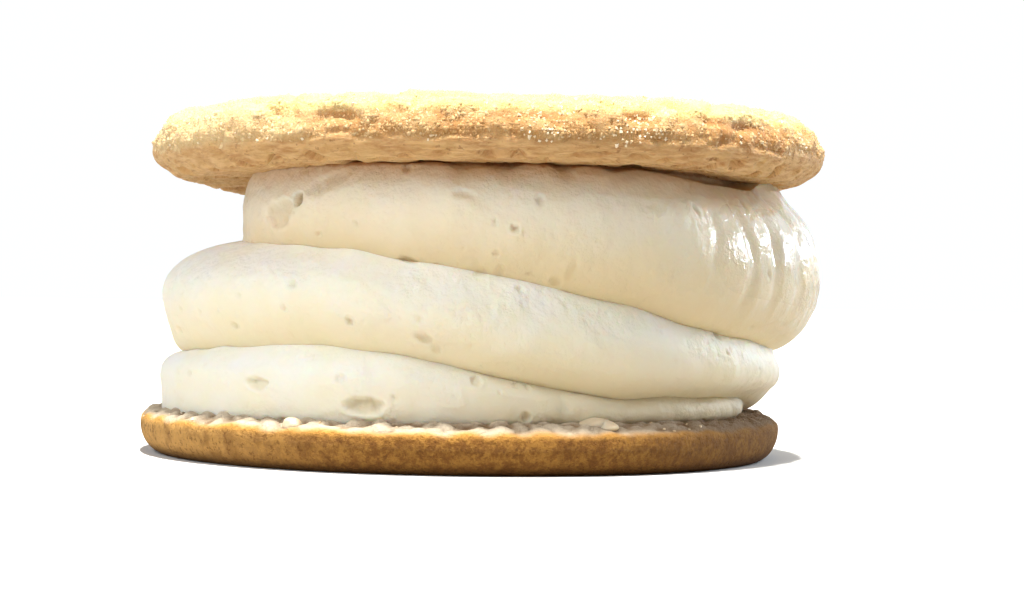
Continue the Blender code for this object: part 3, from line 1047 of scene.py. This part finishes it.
def sugar_finish():
    """Sugar crystals: nearly white, hard and bright."""
    finish = Finish("sugar")
    tone = finish.attribute("tone")
    colour = finish.mix(tone, paint(230, 202, 158), paint(250, 236, 208))
    finish.feed(finish.shader, {
        "Base Color": colour,
        "Roughness": 0.3 + tone * 0.2,
        "Specular IOR Level": 0.7,
        "Coat Weight": 0.25,
        "Coat Roughness": 0.15,
    })
    return finish


def choose(spots, count, wanted, seed):
    """Picks places at random, in proportion to how much each is wanted."""
    draw = np.random.default_rng(seed)
    weights = np.array([wanted(place, crust) for place, _, crust in spots])
    picked = draw.choice(len(spots), size=count, replace=False, p=weights / weights.sum())
    return [spots[index][:2] for index in picked]


def crumb_share(place, crust):
    """Crumbs lie in loose drifts all over the crust, with fewer on its top."""
    top = ramp(place.z, 31.2 * MM, 32.2 * MM)
    drift = ramp(noise.noise(place / (3.0 * MM)), -0.1, 0.4)
    return crust ** 2 * (1.0 - 0.75 * top) * (0.35 + drift)


def sugar_share(place, crust):
    """Sugar lies in a few patches, and thickest in its drifts."""
    patch = ramp(noise.noise(place / (5.0 * MM) + Vector((5, 1, 2))), 0.2, 0.45)
    share = 0.03 + 0.25 * patch
    for degrees, height in SUGAR_DRIFTS:
        angle = math.radians(degrees)
        drift = UPPER_CENTRE + UPPER_RADIUS * Vector((math.sin(angle), -math.cos(angle), 0.0))
        drift.z = height * MM
        share += DRIFT_STRENGTH * math.exp(-((place - drift).length / DRIFT_RADIUS) ** 2)
    return crust * share


crumb_places = choose(upper_spots, CRUMB_COUNT, crumb_share, seed=3)
crumbs = scatter(
    "crust_crumbs", crumb_places, make_crumb, CRUMB_SIZES, CRUMB_SUNK, crumb_finish(),
    seed=4, rounded=True,
)
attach(crumbs, "root")

sugar_places = choose(upper_spots, SUGAR_COUNT, sugar_share, seed=5)
sugar_places += choose(lower_spots, LOWER_SUGAR_COUNT, sugar_share, seed=7)
sugar = scatter(
    "sugar_grains", sugar_places, make_crystal, SUGAR_SIZES, SUGAR_SUNK, sugar_finish(), seed=6
)
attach(sugar, "root")

# Studio: a wide white floor under a high sun-like key, with soft fills at the front and a strip
# of window light at the right. The camera stands level, a little below the food's mid height.

CAMERA_DISTANCE = 213.8 * MM
CAMERA_HEIGHT = 14.9 * MM
CAMERA_ROLL = 0.015
SENSOR_WIDTH = 36.0
IMAGE_WIDTH = 1024
FOCAL_LENGTH_IN_PIXELS = 2184.0
LENS_SHIFT = (0.0487, 0.0032)
FLOOR_HALF_WIDTH = 6.0

# How bright the air looks, and how much light it gives.
AIR_SEEN = 1.05
AIR_LIGHT = 0.04

camera_data = bpy.data.cameras.new("camera")
camera_data.sensor_width = SENSOR_WIDTH
camera_data.lens = SENSOR_WIDTH * FOCAL_LENGTH_IN_PIXELS / IMAGE_WIDTH
camera_data.shift_x, camera_data.shift_y = LENS_SHIFT
camera_data.clip_start = 10.0 * MM
camera = put_in_scene("camera", camera_data)
camera.matrix_world = (
    Matrix.Translation((0.0, -CAMERA_DISTANCE, CAMERA_HEIGHT))
    @ Matrix.Rotation(math.pi / 2, 4, "X")
    @ Matrix.Rotation(CAMERA_ROLL, 4, "Z")
)
bpy.context.scene.camera = camera

floor_bm = bmesh.new()
bmesh.ops.create_grid(floor_bm, x_segments=1, y_segments=1, size=FLOOR_HALF_WIDTH)
floor_mesh = bpy.data.meshes.new("floor")
floor_bm.to_mesh(floor_mesh)
floor_bm.free()

# The camera sees the floor white. The light that it returns to the food is weaker, and
# weakest at the right.
floor_finish = Finish("floor_white")
seen_directly = floor_finish.node("ShaderNodeLightPath", output="Is Camera Ray")
rightwards = floor_finish.between(floor_finish.place_along("X"), -0.06, 0.14)
returned = floor_finish.mix(rightwards, (0.40, 0.385, 0.355, 1.0), (0.272, 0.258, 0.238, 1.0))
floor_finish.feed(floor_finish.shader, {
    "Base Color": floor_finish.mix(seen_directly, returned, (0.80, 0.80, 0.80, 1.0)),
    "Roughness": 0.9,
})
floor_mesh.materials.append(floor_finish.material)
floor = put_in_scene("floor", floor_mesh)

FILL_TARGET = (0.0, 0.0, 0.015)
RIGHT_TARGET = (0.02, 0.0, 0.02)
DAYLIGHT = (0.85, 0.92, 1.0)


def add_light(name, kind, place, target, strength, colour, **settings):
    """A light at a place that points at a target."""
    data = bpy.data.lights.new(name, kind)
    data.energy = strength
    data.color = colour
    for setting, value in settings.items():
        setattr(data, setting, value)
    light = put_in_scene(name, data)
    light.location = place
    light.rotation_mode = "QUATERNION"
    light.rotation_quaternion = (Vector(target) - Vector(place)).to_track_quat("-Z", "Y")
    return light


add_light(
    "key", "SUN", (0.05, -0.19, 1.0), (0.0, 0.0, 0.0), 7.0, (1.0, 0.97, 0.90), angle=0.06
)
add_light(
    "left_fill", "AREA", (-0.40, -0.36, 0.38), FILL_TARGET, 2.4, (0.97, 0.985, 1.0),
    shape="DISK", size=0.40,
)
add_light(
    "front_fill", "AREA", (0.26, -0.43, 0.42), FILL_TARGET, 0.62, (1.0, 0.97, 0.92),
    shape="DISK", size=0.40,
)

# Of the two lights at the right, the sky gives no glints, and the window gives nothing else.
sky = add_light(
    "right_sky", "AREA", (0.30, 0.13, 0.17), RIGHT_TARGET, 0.75, DAYLIGHT,
    shape="DISK", size=0.15,
)
sky.visible_glossy = False
window = add_light(
    "right_window", "AREA", (0.29, 0.12, 0.10), RIGHT_TARGET, 0.55, DAYLIGHT,
    shape="ELLIPSE", size=0.19, size_y=0.022,
)
window.visible_diffuse = False

world = bpy.data.worlds.new("studio")
world.use_nodes = True
air = world.node_tree.nodes["Background"]
air.inputs["Color"].default_value = (0.95, 0.975, 1.0, 1.0)
seen = world.node_tree.nodes.new("ShaderNodeLightPath")
strength = world.node_tree.nodes.new("ShaderNodeMapRange")
strength.inputs["To Min"].default_value = AIR_SEEN
strength.inputs["To Max"].default_value = AIR_LIGHT
world.node_tree.links.new(seen.outputs["Is Diffuse Ray"], strength.inputs["Value"])
world.node_tree.links.new(strength.outputs["Result"], air.inputs["Strength"])
bpy.context.scene.world = world
bpy.context.scene.view_settings.view_transform = "Standard"
